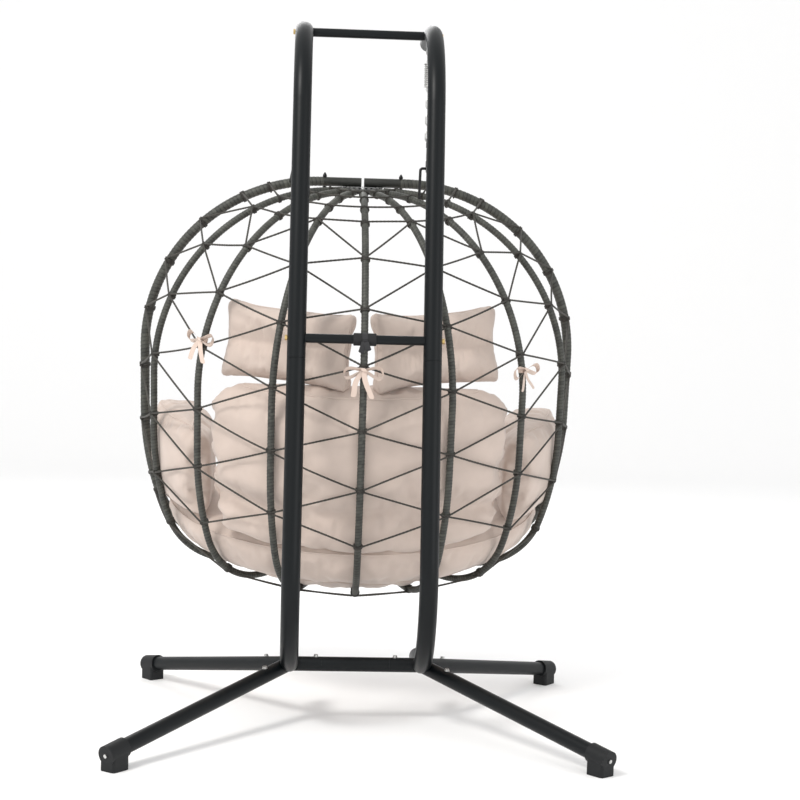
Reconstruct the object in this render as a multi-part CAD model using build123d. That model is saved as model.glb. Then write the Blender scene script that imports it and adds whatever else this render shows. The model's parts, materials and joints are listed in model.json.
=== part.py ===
from build123d import *
from math import atan2, cos, degrees, hypot, radians, sin, tan
import os

# Hanging egg chair for two: a folding wicker basket on a double C-shaped stand.
# Millimetres, +Z up. The chair faces -Y and the sitter's left hand is at +X.
# The origin is at floor level, in the middle of the whole object's box.

# Driving dimensions of the stand
STAND_Y = 67.92  # the legs cross the arms this far behind the origin
ARM_X = 182.0  # half the distance between the two arms
ARM_D = 50.0
ARM_WALL = 1.8
ARM_TOP_Z = 1925.0  # axis of the arm's upper run
ARM_TIP_Y = -400.0  # from here on, stand places are counted from STAND_Y
ARM_FOOT_Z = 156.0  # axis of the arm's lower run
ARM_FOOT_Y = -140.0
ARM_LEAN = 9.6  # degrees that the long middle run leans forward
LOWER_BEND_R = 270.0
UPPER_BEND_R = 260.0
ARM_JOINT_Z = 1004.0  # the upper half of the arm starts here
ARM_JOINT_GAP = 1.2  # shows as a line round the arm
SPIGOT_LENGTH = 38.0
SPIGOT_GAP = 0.2
CAP_FLANGE = 3.0
CAP_DOME = 9.0

MIDDLE_BAR_Z = 1059.0
MIDDLE_BAR_Y = 110.0
TOP_BAR_Y = -245.0
TOP_BAR_Z = 1921.0
CROSSBAR_D = 25.0
CROSSBAR_WALL = 1.5

LEG_D = 40.0
LEG_WALL = 1.8
FOOT_X = 612.0
FOOT_Y = 533.0
FOOT_AXIS_Z = 42.0
LEG_SOCKET = 118.0  # from the arm's axis to the end of the welded leg socket
BASE_SOCKET_X = 93.0  # the base crossbar's sockets end here

FOOT_CAP_D = 50.0
FOOT_CAP_LENGTH = 62.0
FOOT_BLOCK = 54.0

BUMPER_D = 34.0
BUMPER_LENGTH = 62.0

# Driving dimensions of the suspension
HANG_Y = -300.0  # counted from STAND_Y
EYE_WIRE = 6.0
EYE_R = 10.0
EYE_Z = 1884.0
LINK_WIRE = 5.0
LINK_HALF_WIDTH = 8.0
LINK_SPAN = 29.0  # between the centres of a link's two end wires
UPPER_LINK_SPAN = 20.0
LINK_GAP = 0.4
LINKS = 6
SPRING_WIRE = 5.0
SPRING_COIL_R = 14.5
SPRING_TURNS = 11
SPRING_LENGTH = 64.0
SPRING_LOOP_R = 8.0
CARABINER_WIRE = 9.0
CARABINER_HALF_WIDTH = 16.0
HANG_BAR_D = 8.0
HANG_BAR_Z = 1550.0
GATE_WIRE = 7.0
GATE_LENGTH = 42.0

# Driving dimensions of the basket. Its own axis runs through the two hubs and leans back.
HUB_Y = -443.0  # counted from STAND_Y
HUB_Z = 1494.0
BASKET_LEAN = 12.0
RIB_COUNT = 9
RIB_D = 20.0
HOOP_D = 28.0
CORE_D = 14.0
CORE_WALL = 1.2
HOOP_START = 4.0  # the hoop halves stop this short of the middle
HOOP_RISE = 20.2  # the two hoop halves lie this much above the other ribs at the top hub
TOP_RUN = 125.0  # a rib is straight out to here, then bends through four tangent stretches
SHOULDER_R = 518.0
SIDE_RUN = 165.0
FLANK_R = 870.0
FLANK_TURN = 18.0
SEAT_BEND_R = 242.0
WRAP_START = 68.0
HUB_R = 60.0
HUB_BOLT_R = 47.0
HUB_PLATE = 3.0
TAB_THICK = 6.0
TAB_WIDTH = 15.0
LOCK_BOLT_X = 113.0
LOCK_BOLT_D = 6.0

# The cords are tied to the ribs at these distances along a rib from its hub end.
RING_ROWS = (105.0, 190.0, 268.0, 350.0)
ODD_ROWS = (350.0, 494.0, 650.0, 806.0, 983.0, 1151.0, 1325.0)
EVEN_ROWS = (350.0, 530.0, 703.0, 879.0, 1058.0, 1238.0)
RIM_AT = (1385.0, 1401.0, 1518.0, 1630.0, 1560.0)  # ribs 1 to 5; the rest mirror them
CORD_D = 5.0

# Driving dimensions of the cushions, in the basket's own frame
SEAT_TOP = 930.0
SEAT_BOTTOM = 1098.0
BACK_FRONT = 430.0
BACK_TOP = 487.0
BACK_OUTER_R = 606.0
BACK_SHOULDER_R = 120.0
ARM_INNER_X = 442.0
ARM_PAD_TOP = 640.0
ARM_PAD_ROUND = 60.0
ARM_PAD_FRONT = 70.0
PILLOW_WIDTH = 372.0
PILLOW_HEIGHT = 200.0
PILLOW_THICK = 92.0
PILLOW_TURN = 25.0  # each pillow turns this far to face the middle of the seat
PILLOW_TILT = 11.0  # and leans back with the ribs
PILLOW_R = 484.0  # from the basket's axis to a pillow's middle
PILLOW_H = 378.0
SOFT_GAP = 1.0

BIG = 2000.0
SIDES = (("left", 1), ("right", -1))


def lean_shift(z):
    """How far the arm's middle run is in front of where it crosses the middle crossbar."""
    return (z - MIDDLE_BAR_Z) * tan(radians(ARM_LEAN))


def arm_path(x):
    """Centre line of one C-shaped arm, from its lower end to its tip."""
    lower_corner = (x, STAND_Y + MIDDLE_BAR_Y - lean_shift(ARM_FOOT_Z), ARM_FOOT_Z)
    upper_corner = (x, STAND_Y + MIDDLE_BAR_Y - lean_shift(ARM_TOP_Z), ARM_TOP_Z)
    return FilletPolyline(
        (x, STAND_Y + ARM_FOOT_Y, ARM_FOOT_Z),
        lower_corner,
        upper_corner,
        (x, STAND_Y + ARM_TIP_Y, ARM_TOP_Z),
        radius=(LOWER_BEND_R, UPPER_BEND_R),
    )


def rod_along(path, diameter):
    """A solid rod swept along a path of tangent lines and arcs."""
    start = Plane(origin=path @ 0, z_dir=path % 0)
    return sweep(start * Circle(diameter / 2), path=path)


def rod(start, end, diameter):
    """A straight solid rod between two points."""
    axis = Vector(*end) - Vector(*start)
    return extrude(Plane(origin=start, z_dir=axis) * Circle(diameter / 2), axis.length)


def tube(start, end, diameter, wall):
    """A straight tube between two points."""
    return rod(start, end, diameter) - rod(start, end, diameter - 2 * wall)


def above(z):
    return Pos(0, 0, z + BIG) * Box(2 * BIG, 2 * BIG, 2 * BIG)


def joint_plane(x):
    """Plane across the arm at its sleeve joint, its normal pointing up the arm."""
    lean = radians(ARM_LEAN)
    y = STAND_Y + MIDDLE_BAR_Y - lean_shift(ARM_JOINT_Z)
    return Plane(origin=(x, y, ARM_JOINT_Z), x_dir=(1, 0, 0), z_dir=(0, -sin(lean), cos(lean)))


def upper_part(x, height):
    """Everything past a cross-section of the arm, height above the sleeve joint."""
    return joint_plane(x) * Pos(0, 0, height + BIG / 2) * Box(BIG, BIG, BIG)


def leg_direction(side, end):
    """Unit vector from the arm's axis towards a foot. end is 1 at the rear, -1 at the front."""
    run = Vector(side * (FOOT_X - ARM_X), end * FOOT_Y, FOOT_AXIS_Z - leg_root(side).Z)
    return run.normalized()


def leg_root(side):
    """Where the legs' and the base crossbar's axes meet the arm."""
    return Vector(side * ARM_X, STAND_Y, ARM_FOOT_Z + 4.0)


def upper_arm(side):
    x = side * ARM_X
    path = arm_path(x)
    whole = rod_along(path, ARM_D) - rod_along(path, ARM_D - 2 * ARM_WALL)
    bolt_y = STAND_Y + HANG_Y
    holes = rod((x, bolt_y, ARM_TOP_Z - ARM_D), (x, bolt_y, ARM_TOP_Z + ARM_D), EYE_WIRE + 1)
    for y, z in ((TOP_BAR_Y, TOP_BAR_Z), (MIDDLE_BAR_Y, MIDDLE_BAR_Z)):
        outer = (x + side * ARM_D, STAND_Y + y, z)
        holes += rod((x - side * ARM_D, STAND_Y + y, z), outer, 8.4)
    return (whole & upper_part(x, ARM_JOINT_GAP)) - holes


def lower_arm(side):
    x = side * ARM_X
    path = arm_path(x)
    outside = rod_along(path, ARM_D) - upper_part(x, 0)
    spigot_d = ARM_D - 2 * ARM_WALL - 2 * SPIGOT_GAP
    spigot = rod_along(path, spigot_d) & upper_part(x, -20) - upper_part(x, SPIGOT_LENGTH)
    root = leg_root(side)
    body = outside + spigot
    for end in (1, -1):
        body += rod(root, root + leg_direction(side, end) * LEG_SOCKET, LEG_D)
    body += rod(root, (side * BASE_SOCKET_X, root.Y, root.Z), LEG_D)
    hollow = rod_along(path, spigot_d - 2 * ARM_WALL)
    for end in (1, -1):
        way = leg_direction(side, end)
        hollow += rod(root + way * ARM_D, root + way * LEG_SOCKET, LEG_D - 2 * LEG_WALL)
    far = (side * BASE_SOCKET_X, root.Y, root.Z)
    hollow += rod((side * (ARM_X - ARM_D), root.Y, root.Z), far, LEG_D - 2 * LEG_WALL)
    return body - hollow


def end_cap(x, y, z):
    """Domed cap on an arm's forward-facing end, with a plug inside the tube."""
    plane = Plane(origin=(x, y, z), x_dir=(1, 0, 0), z_dir=(0, -1, 0))
    flange = extrude(Circle(ARM_D / 2), CAP_FLANGE)
    dome_r = (CAP_DOME**2 + (ARM_D / 2) ** 2) / (2 * CAP_DOME)
    dome = Pos(0, 0, CAP_FLANGE + CAP_DOME - dome_r) * Sphere(dome_r)
    dome &= Pos(0, 0, CAP_FLANGE + CAP_DOME / 2) * Box(ARM_D, ARM_D, CAP_DOME)
    bore = ARM_D - 2 * ARM_WALL if z > MIDDLE_BAR_Z else ARM_D - 4 * ARM_WALL - 2 * SPIGOT_GAP
    plug = Pos(0, 0, -8) * Cylinder(bore / 2 - 0.1, 16)
    return plane * (flange + dome + plug)


def arm_end_caps():
    ends = ((ARM_TIP_Y, ARM_TOP_Z), (ARM_FOOT_Y, ARM_FOOT_Z))
    return [end_cap(side * ARM_X, STAND_Y + y, z) for _, side in SIDES for y, z in ends]


def saddle_bar(y, z):
    """Crossbar with its ends shaped to the arms' round sides and closed by threaded plugs."""
    arms = ARM_X - ARM_D / 2 + 3
    bar = tube((-arms, y, z), (arms, y, z), CROSSBAR_D, CROSSBAR_WALL)
    for _, side in SIDES:
        inner = side * (arms - 24)
        plug = rod((inner, y, z), (side * arms, y, z), CROSSBAR_D - 2 * CROSSBAR_WALL)
        bar += plug - rod((inner, y, z), (side * arms, y, z), 8.4)
    return bar


def crossbar(y, z):
    bar = saddle_bar(STAND_Y + y, z)
    for _, side in SIDES:
        bar -= rod_along(arm_path(side * ARM_X), ARM_D + 0.2)
    return bar


def base_crossbar():
    root = leg_root(1)
    half = BASE_SOCKET_X - 0.2
    bar = tube((-half, root.Y, root.Z), (half, root.Y, root.Z), LEG_D, LEG_WALL)
    inner_d = LEG_D - 2 * LEG_WALL - 2 * SPIGOT_GAP
    for _, side in SIDES:
        start = (side * (half - 40), root.Y, root.Z)
        end = (side * (half + 28), root.Y, root.Z)
        bar += tube(start, end, inner_d, LEG_WALL)
        bar += tube(start, (side * (half - 20), root.Y, root.Z), LEG_D - LEG_WALL, 4)
    return bar


def leg(side, end):
    root = leg_root(side)
    way = leg_direction(side, end)
    foot = Vector(side * FOOT_X, STAND_Y + end * FOOT_Y, FOOT_AXIS_Z)
    start = root + way * (LEG_SOCKET + 0.2)
    body = tube(start, foot, LEG_D, LEG_WALL)
    inner_d = LEG_D - 2 * LEG_WALL - 2 * SPIGOT_GAP
    body += tube(start - way * 32, start + way * 40, inner_d, LEG_WALL)
    body += tube(start + way * 20, start + way * 40, LEG_D - LEG_WALL, 4)
    return body


def foot(side, end):
    """Cap over a leg's end, on a rounded block that stands on the floor."""
    way = leg_direction(side, end)
    tip = Vector(side * FOOT_X, STAND_Y + end * FOOT_Y, FOOT_AXIS_Z)
    shell = rod(tip - way * (FOOT_CAP_LENGTH - 10), tip + way * 10, FOOT_CAP_D)
    heading = degrees(atan2(way.Y, way.X))
    height = FOOT_AXIS_Z
    block = Box(FOOT_BLOCK, FOOT_BLOCK - 6, height)
    block = fillet(block.edges().filter_by(Axis.Z), 7)
    middle = tip - way * (FOOT_CAP_LENGTH / 2 - 10)
    block = Pos(middle.X, middle.Y, height / 2) * Rot(0, 0, heading) * block
    floor = above(0)
    socket = rod(tip - way * FOOT_CAP_LENGTH, tip + way * 0.2, LEG_D + 0.4)
    screw = rod(tip - way * 5, tip + way * 12, 5.4)
    return ((shell + block) & floor) - socket - screw


def foot_screws():
    """One pan-head screw through the end of each foot cap."""
    screws = []
    for _, side in SIDES:
        for end in (1, -1):
            way = leg_direction(side, end)
            tip = Vector(side * FOOT_X, STAND_Y + end * FOOT_Y, FOOT_AXIS_Z) + way * 10.1
            head = rod(tip, tip + way * 3, 10)
            screws.append(head + rod(tip - way * 18, tip + way * 1, 5))
    return screws


def hex_prism(plane, width, height):
    hexagon = RegularPolygon(width / 2, 6, major_radius=False)
    return extrude(plane * hexagon, height)


def crossbar_bolts():
    """Hexagon bolts through the arms into the ends of the top and middle crossbars."""
    bolts = []
    for y, z in ((TOP_BAR_Y, TOP_BAR_Z), (MIDDLE_BAR_Y, MIDDLE_BAR_Z)):
        for _, side in SIDES:
            face = side * (ARM_X + ARM_D / 2 + 0.6)
            plane = Plane(origin=(face, STAND_Y + y, z), z_dir=(side, 0, 0))
            head = hex_prism(plane, 13, 6)
            shank = rod((face + side, STAND_Y + y, z), (side * (ARM_X - 42), STAND_Y + y, z), 8)
            bolts.append(head + shank)
    return bolts


def base_bolt(seat, along):
    """Socket-head bolt and washer on top of a socket. seat is on the socket's axis."""
    up = (Vector(0, 0, 1) - along * along.Z).normalized()
    top = seat + up * (LEG_D / 2 + 0.1)
    head = rod(top + up, top + up * 6, 11) - rod(top + up * 3, top + up * 7, 5.5)
    return head + rod(top, top + up * 1.2, 15)


def base_bolts():
    """The bolts that lock the legs and the base crossbar in their sockets."""
    bolts = []
    for _, side in SIDES:
        root = leg_root(side)
        for end in (1, -1):
            way = leg_direction(side, end)
            bolts.append(base_bolt(root + way * (LEG_SOCKET - 16), way))
        bolts.append(base_bolt(Vector(side * (BASE_SOCKET_X + 16), root.Y, root.Z), Vector(side, 0, 0)))
    return bolts


def bumper_sleeve():
    """Foam tube on the middle crossbar."""
    y, z, half = STAND_Y + MIDDLE_BAR_Y, MIDDLE_BAR_Z, BUMPER_LENGTH / 2
    sleeve = rod((-half, y, z), (half, y, z), BUMPER_D)
    sleeve = fillet(sleeve.edges(), 3)
    return sleeve - rod((-half, y, z), (half, y, z), CROSSBAR_D + 0.1)


def bumper_strap():
    """Narrow strap tied round the foam, with its two ends hanging behind."""
    y, z = STAND_Y + MIDDLE_BAR_Y, MIDDLE_BAR_Z
    strap = tube((-9, y, z), (9, y, z), BUMPER_D + 3.2, 1.5)
    outer = BUMPER_D / 2 + 1.6
    knot = Pos(0, y + outer + 1, z - 4) * Box(16, 8, 12)
    tails = Pos(-5, y + outer + 1.5, z - 22) * Rot(0, 8, 0) * Box(9, 1.6, 28)
    tails += Pos(6, y + outer + 1.5, z - 19) * Rot(0, -14, 0) * Box(9, 1.6, 22)
    inside = rod((-20, y, z), (20, y, z), BUMPER_D + 0.2)
    return (strap + knot + tails) - inside


def ring(x, y, z, radius, wire, plane):
    """A wire ring round a point, lying in plane XZ or YZ."""
    return Pos(x, y, z) * (plane.location * Torus(radius, wire / 2))


def eye_bolts():
    bolts = []
    for _, side in SIDES:
        x, y = side * ARM_X, STAND_Y + HANG_Y
        eye = ring(x, y, EYE_Z, EYE_R, EYE_WIRE, Plane.XZ)
        shank = rod((x, y, EYE_Z + EYE_R), (x, y, ARM_TOP_Z + ARM_D / 2 + 9), EYE_WIRE)
        bolts.append(eye + shank)
    return bolts


def eye_bolt_nuts():
    """Domed nuts on saddle washers, on top of the arms' tips."""
    nuts = []
    for _, side in SIDES:
        x, y, base = side * ARM_X, STAND_Y + HANG_Y, ARM_TOP_Z + ARM_D / 2
        washer = Pos(x, y, base - 1) * Cylinder(9, 7) - rod_along(arm_path(x), ARM_D + 0.1)
        nut = hex_prism(Plane(origin=(x, y, base + 2.4)), 11, 5)
        nut += Pos(x, y, base + 7.4) * Cylinder(4.6, 5)
        nuts.append(washer + nut - rod((x, y, base - 9), (x, y, base + 9.2), EYE_WIRE + 0.2))
    return nuts


def link(x, y, top, span, half_width, wire, across):
    """A closed stadium-shaped link hanging down from its top wire. across is its wide direction."""
    way = Vector(*across)
    top_bow = Vector(x, y, top - half_width)
    low_bow = Vector(x, y, top - span + half_width)
    path = Polyline(top_bow + way * half_width, low_bow + way * half_width)
    path += ThreePointArc(
        low_bow + way * half_width, Vector(x, y, top - span), low_bow - way * half_width
    )
    path += Polyline(low_bow - way * half_width, top_bow - way * half_width)
    path += ThreePointArc(
        top_bow - way * half_width, Vector(x, y, top), top_bow + way * half_width
    )
    start = Plane(origin=top_bow + way * half_width, z_dir=(0, 0, -1))
    return sweep(start * Circle(wire / 2), path=path)


ACROSS_X = (1, 0, 0)
ACROSS_Y = (0, 1, 0)

EYE_LOW_WIRE_Z = EYE_Z - EYE_R
UPPER_LINK_TOP = EYE_LOW_WIRE_Z + EYE_WIRE / 2 + LINK_WIRE / 2 + LINK_GAP
UPPER_LINK_LOW = UPPER_LINK_TOP - UPPER_LINK_SPAN
SPRING_HOOK_TOP = UPPER_LINK_LOW + LINK_WIRE / 2 + SPRING_WIRE / 2 + LINK_GAP
COIL_TOP = SPRING_HOOK_TOP - 2 * SPRING_LOOP_R
COIL_BOTTOM = COIL_TOP - SPRING_LENGTH
SPRING_HOOK_LOW = COIL_BOTTOM - 2 * SPRING_LOOP_R
CHAIN_TOP = SPRING_HOOK_LOW + SPRING_WIRE / 2 + LINK_WIRE / 2 + LINK_GAP
LINK_PITCH = LINK_SPAN - LINK_WIRE - LINK_GAP
CHAIN_LOW = CHAIN_TOP - LINK_PITCH * (LINKS - 1) - LINK_SPAN
CARABINER_TOP = CHAIN_LOW + LINK_WIRE / 2 + CARABINER_WIRE / 2 + LINK_GAP
CARABINER_LOW = HANG_BAR_Z - HANG_BAR_D / 2 - CARABINER_WIRE / 2 - LINK_GAP
GATE_HINGE_Z = CARABINER_TOP - CARABINER_HALF_WIDTH - 4


def upper_link(side):
    """Link in the plane YZ: it swings fore and aft in the eye."""
    place = (side * ARM_X, STAND_Y + HANG_Y, UPPER_LINK_TOP)
    return link(*place, UPPER_LINK_SPAN, LINK_HALF_WIDTH, LINK_WIRE, ACROSS_Y)


def spring(side):
    """Close-coiled extension spring with a round hook at each end."""
    x, y = side * ARM_X, STAND_Y + HANG_Y
    pitch = SPRING_LENGTH / SPRING_TURNS
    helix = Helix(pitch=pitch, height=SPRING_LENGTH, radius=SPRING_COIL_R)
    start = Plane(origin=helix @ 0, z_dir=helix % 0)
    coil = sweep(start * Circle(SPRING_WIRE / 2), path=helix, is_frenet=True)
    body = Pos(x, y, COIL_BOTTOM) * coil
    for z, hook_z in ((COIL_TOP, COIL_TOP + SPRING_LOOP_R), (COIL_BOTTOM, COIL_BOTTOM - SPRING_LOOP_R)):
        body += rod((x - 1, y, z), (x + SPRING_COIL_R, y, z), SPRING_WIRE - 0.1)
        body += ring(x, y, hook_z, SPRING_LOOP_R, SPRING_WIRE, Plane.XZ)
    return body


def chain(side):
    """Links that alternate between the planes YZ and XZ."""
    links = []
    for n in range(LINKS):
        place = (side * ARM_X, STAND_Y + HANG_Y, CHAIN_TOP - n * LINK_PITCH)
        across = ACROSS_X if n % 2 else ACROSS_Y
        links.append(link(*place, LINK_SPAN, LINK_HALF_WIDTH, LINK_WIRE, across))
    return links


def carabiner(side):
    """Oval snap hook in the plane YZ, open on its front side where the gate closes it."""
    x, y = side * ARM_X, STAND_Y + HANG_Y
    span = CARABINER_TOP - CARABINER_LOW
    loop = link(x, y, CARABINER_TOP, span, CARABINER_HALF_WIDTH, CARABINER_WIRE, ACROSS_Y)
    front = y - CARABINER_HALF_WIDTH
    low = GATE_HINGE_Z - GATE_LENGTH
    opening = Pos(x, front, (GATE_HINGE_Z + 6 + low) / 2)
    opening *= Box(20, CARABINER_WIRE + 6, GATE_HINGE_Z + 6 - low)
    hinge = rod((x - 4.4, front, GATE_HINGE_Z), (x + 4.4, front, GATE_HINGE_Z), 2.4)
    cheeks = Pos(x, front, GATE_HINGE_Z + 3) * (Box(8.8, 8, 14) - Box(4.8, 9, 15))
    return loop - opening + cheeks + hinge


def gate(side):
    """Sprung bar that closes the carabiner, turning on the pin at its upper end."""
    x, y = side * ARM_X, STAND_Y + HANG_Y - CARABINER_HALF_WIDTH
    low = GATE_HINGE_Z - GATE_LENGTH + 0.5
    bar = rod((x, y, low), (x, y, GATE_HINGE_Z - 6.5), GATE_WIRE)
    lug = Pos(x, y, GATE_HINGE_Z - 4) * Box(4.2, 6, 8)
    lug += rod((x - 2.1, y, GATE_HINGE_Z), (x + 2.1, y, GATE_HINGE_Z), 6)
    return bar + lug - rod((x - 9, y, GATE_HINGE_Z), (x + 9, y, GATE_HINGE_Z), 2.6)


# The basket's own frame: origin at the top hub, x to the sitter's left, y to the back and z up
# along the leaning axis. Depth below the hub is written as h, distance from the axis as r.
BASKET = Pos(0, STAND_Y + HUB_Y, HUB_Z) * Rot(-BASKET_LEAN, 0, 0)
SIDE_R = TOP_RUN + SHOULDER_R


def rib_direction(number):
    """Angle in degrees of a rib about the basket's axis: rib 1 points left, rib 9 right."""
    return (number - 1) * 180.0 / (RIB_COUNT - 1)


def rib_stretches(rise):
    """Line and arcs of a rib's outline in its own plane, as (kind, size) in order from the top."""
    flank = radians(FLANK_TURN)
    end_r = SIDE_R - FLANK_R * (1 - cos(flank)) - SEAT_BEND_R * cos(flank)
    return (
        ("line", TOP_RUN),
        ("arc", SHOULDER_R, 90.0),
        ("line", SIDE_RUN + rise),
        ("arc", FLANK_R, FLANK_TURN),
        ("arc", SEAT_BEND_R, 90.0 - FLANK_TURN),
        ("line", end_r),
    )


def rib_point(distance, rise=0.0):
    """(r, h) of the point a distance along a rib's centre line, which starts on the axis."""
    r, h, heading, left = 0.0, -rise, 0.0, distance
    for kind, size, *turn in rib_stretches(rise):
        length = size if kind == "line" else size * radians(turn[0])
        step = min(left, length)
        if kind == "line":
            r, h = r + step * cos(heading), h + step * sin(heading)
        else:
            after = heading + step / size
            r += size * (sin(after) - sin(heading))
            h += size * (cos(heading) - cos(after))
            heading = after
        left -= step
        if left <= 0:
            break
    return r, h


def rib_length(rise=0.0):
    total = 0.0
    for kind, size, *turn in rib_stretches(rise):
        total += size if kind == "line" else size * radians(turn[0])
    return total


def rib_path(start, finish, rise=0.0):
    """Centre line of a rib in the plane XZ, between two distances along it."""
    marks, total = [start], 0.0
    kinds = []
    for kind, size, *turn in rib_stretches(rise):
        length = size if kind == "line" else size * radians(turn[0])
        low, high = max(start, total), min(finish, total + length)
        if high - low > 0.01:
            kinds.append(kind)
            marks.append(high)
        total += length
    path = None
    for kind, low, high in zip(kinds, marks, marks[1:]):
        ends = [Vector(r, 0, -h) for r, h in (rib_point(low, rise), rib_point(high, rise))]
        if kind == "line":
            piece = Line(ends[0], ends[1])
        else:
            r, h = rib_point((low + high) / 2, rise)
            piece = ThreePointArc(ends[0], Vector(r, 0, -h), ends[1])
        path = piece if path is None else path + piece
    return path


def bent_tube(path, outer, inner):
    return rod_along(path, outer) - rod_along(path, inner)


def around(number, shape):
    """Turns a shape made in the plane XZ into a rib's place in the basket."""
    return BASKET * Rot(0, 0, rib_direction(number)) * shape


def is_hoop(number):
    return number in (1, RIB_COUNT)


def rib_wrap(number):
    """The wrapped outside of a rib, hollow where its steel core runs."""
    rise = HOOP_RISE if is_hoop(number) else 0.0
    start = HOOP_START if is_hoop(number) else WRAP_START
    outer = HOOP_D if is_hoop(number) else RIB_D
    path = rib_path(start, rib_length(rise) - WRAP_START, rise)
    wrap = bent_tube(path, outer, CORE_D + 0.1)
    return around(number, wrap - lock_hole() if is_hoop(number) else wrap)


def lock_hole():
    return Pos(LOCK_BOLT_X, 0, HOOP_RISE) * Cylinder(LOCK_BOLT_D / 2 + 0.1, 4 * HOOP_D)


def hub_tab(h):
    """Flattened end of a core, bored for its hub bolt."""
    tab = Pos((HUB_BOLT_R + WRAP_START) / 2, 0, -h)
    tab *= Box(WRAP_START - HUB_BOLT_R, TAB_WIDTH, TAB_THICK - 0.2)
    tab += Pos(HUB_BOLT_R, 0, -h) * Cylinder(TAB_WIDTH / 2, TAB_THICK - 0.2)
    return tab - Pos(HUB_BOLT_R, 0, -h) * Cylinder(3.2, 2 * TAB_THICK)


def rib_core(number):
    """Steel tube inside a rib, with a flattened tab at each hub it is bolted to."""
    rise = HOOP_RISE if is_hoop(number) else 0.0
    start = HOOP_START if is_hoop(number) else WRAP_START - 2
    finish = rib_length(rise) - WRAP_START + 2
    core = bent_tube(rib_path(start, finish, rise), CORE_D, CORE_D - 2 * CORE_WALL)
    depths = [rib_point(rib_length(rise), rise)[1]]
    if not is_hoop(number):
        depths.append(0.0)
    for h in depths:
        core += hub_tab(h)
    if is_hoop(number):
        core -= lock_hole()
    return around(number, core)


def hub_plates(h):
    """Two plates that hold the ribs' tabs between them, seen from above as a round-cornered D."""
    plates = []
    for side in (1, -1):
        disc = Cylinder(HUB_R, HUB_PLATE) & Pos(0, HUB_R - 16, 0) * Box(BIG, 2 * HUB_R, BIG)
        plate = Pos(0, 0, side * (TAB_THICK + HUB_PLATE) / 2) * disc
        for number in range(1, RIB_COUNT + 1):
            spot = Rot(0, 0, rib_direction(number)) * Pos(HUB_BOLT_R, 0, 0)
            plate -= spot * Cylinder(3.2, BIG)
        plates.append(BASKET * Pos(0, 0, -h) * plate)
    return plates


def hub_bolt(number, h):
    """Bolt with a round head above the plates and a nut below."""
    half = TAB_THICK / 2 + HUB_PLATE
    bolt = Cylinder(3.0, 2 * half + 8) + Pos(0, 0, half + 1.6) * Cylinder(5.5, 3)
    bolt += Pos(0, 0, -half - 2.6) * extrude(RegularPolygon(5, 6, major_radius=False), 2.5)
    spot = Rot(0, 0, rib_direction(number)) * Pos(HUB_BOLT_R, 0, -h)
    return BASKET * spot * bolt


def hub_bolts():
    low = rib_point(rib_length())[1]
    top = [hub_bolt(n, 0.0) for n in range(2, RIB_COUNT)]
    return top + [hub_bolt(n, low) for n in range(1, RIB_COUNT + 1)]


def lock_bolts():
    """Upright bolts through the hoops, each with a pointed knob above and a round nut below."""
    bolts = []
    for _, side in SIDES:
        base = Pos(side * LOCK_BOLT_X, 0, HOOP_RISE)
        top = HOOP_D / 2 + 0.3
        bolt = Pos(0, 0, top) * extrude(Circle(6), 5)
        bolt += Pos(0, 0, top + 5 + 4) * Cone(6, 1.5, 8)
        bolt += Pos(0, 0, -top - 5) * extrude(Circle(6), 5)
        bolt += Cylinder(LOCK_BOLT_D / 2, 2 * top + 2)
        bolts.append(BASKET * base * bolt)
    return bolts


def hang_bracket(side):
    """Bent bar from a hoop half back to the second rib behind it, with a level run to hang from."""
    x, y = side * ARM_X, STAND_Y + HANG_Y
    front = rib_spot(1 if side > 0 else RIB_COUNT, ARM_X + 24)
    rear = rib_spot(3 if side > 0 else RIB_COUNT - 2, hypot(ARM_X - 22, ARM_X - 22))
    path = FilletPolyline(
        front,
        (x + side * 22, y, HANG_BAR_Z),
        (x - side * 20, y, HANG_BAR_Z),
        rear,
        radius=7,
    )
    bar = rod_along(path, HANG_BAR_D)
    for number in ((1, 3) if side > 0 else (RIB_COUNT, RIB_COUNT - 2)):
        rise = HOOP_RISE if is_hoop(number) else 0.0
        outer = (HOOP_D if is_hoop(number) else RIB_D) + 0.1
        bar -= around(number, rod_along(rib_path(30, 500, rise), outer))
    return max(bar.solids(), key=lambda solid: solid.volume)


def rib_spot(number, distance):
    """Place of a point on a rib's centre line, in the object's frame."""
    rise = HOOP_RISE if is_hoop(number) else 0.0
    r, h = rib_point(distance + rise / 2, rise)
    angle = radians(rib_direction(number))
    return (BASKET * Pos(r * cos(angle), r * sin(angle), -h)).position


def clear_of(number, distance, way):
    """How far from a rib's centre line a cord that leaves it along way is clear of the rib."""
    along = (rib_spot(number, distance + 1) - rib_spot(number, distance - 1)).normalized()
    slant = abs(along.dot(way))
    radius = (HOOP_D if is_hoop(number) else RIB_D) / 2
    return (radius + 0.5 + CORD_D / 2 * slant) / (1 - slant**2) ** 0.5


def cord(number, distance, next_distance):
    """Straight cord between neighbouring ribs, clear of both by a hair."""
    start, end = rib_spot(number, distance), rib_spot(number + 1, next_distance)
    way = (end - start).normalized()
    near = clear_of(number, distance, way)
    far = clear_of(number + 1, next_distance, way)
    return rod(start + way * near, end - way * far, CORD_D)


def net_rows(number):
    return ODD_ROWS if number % 2 else EVEN_ROWS


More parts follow.
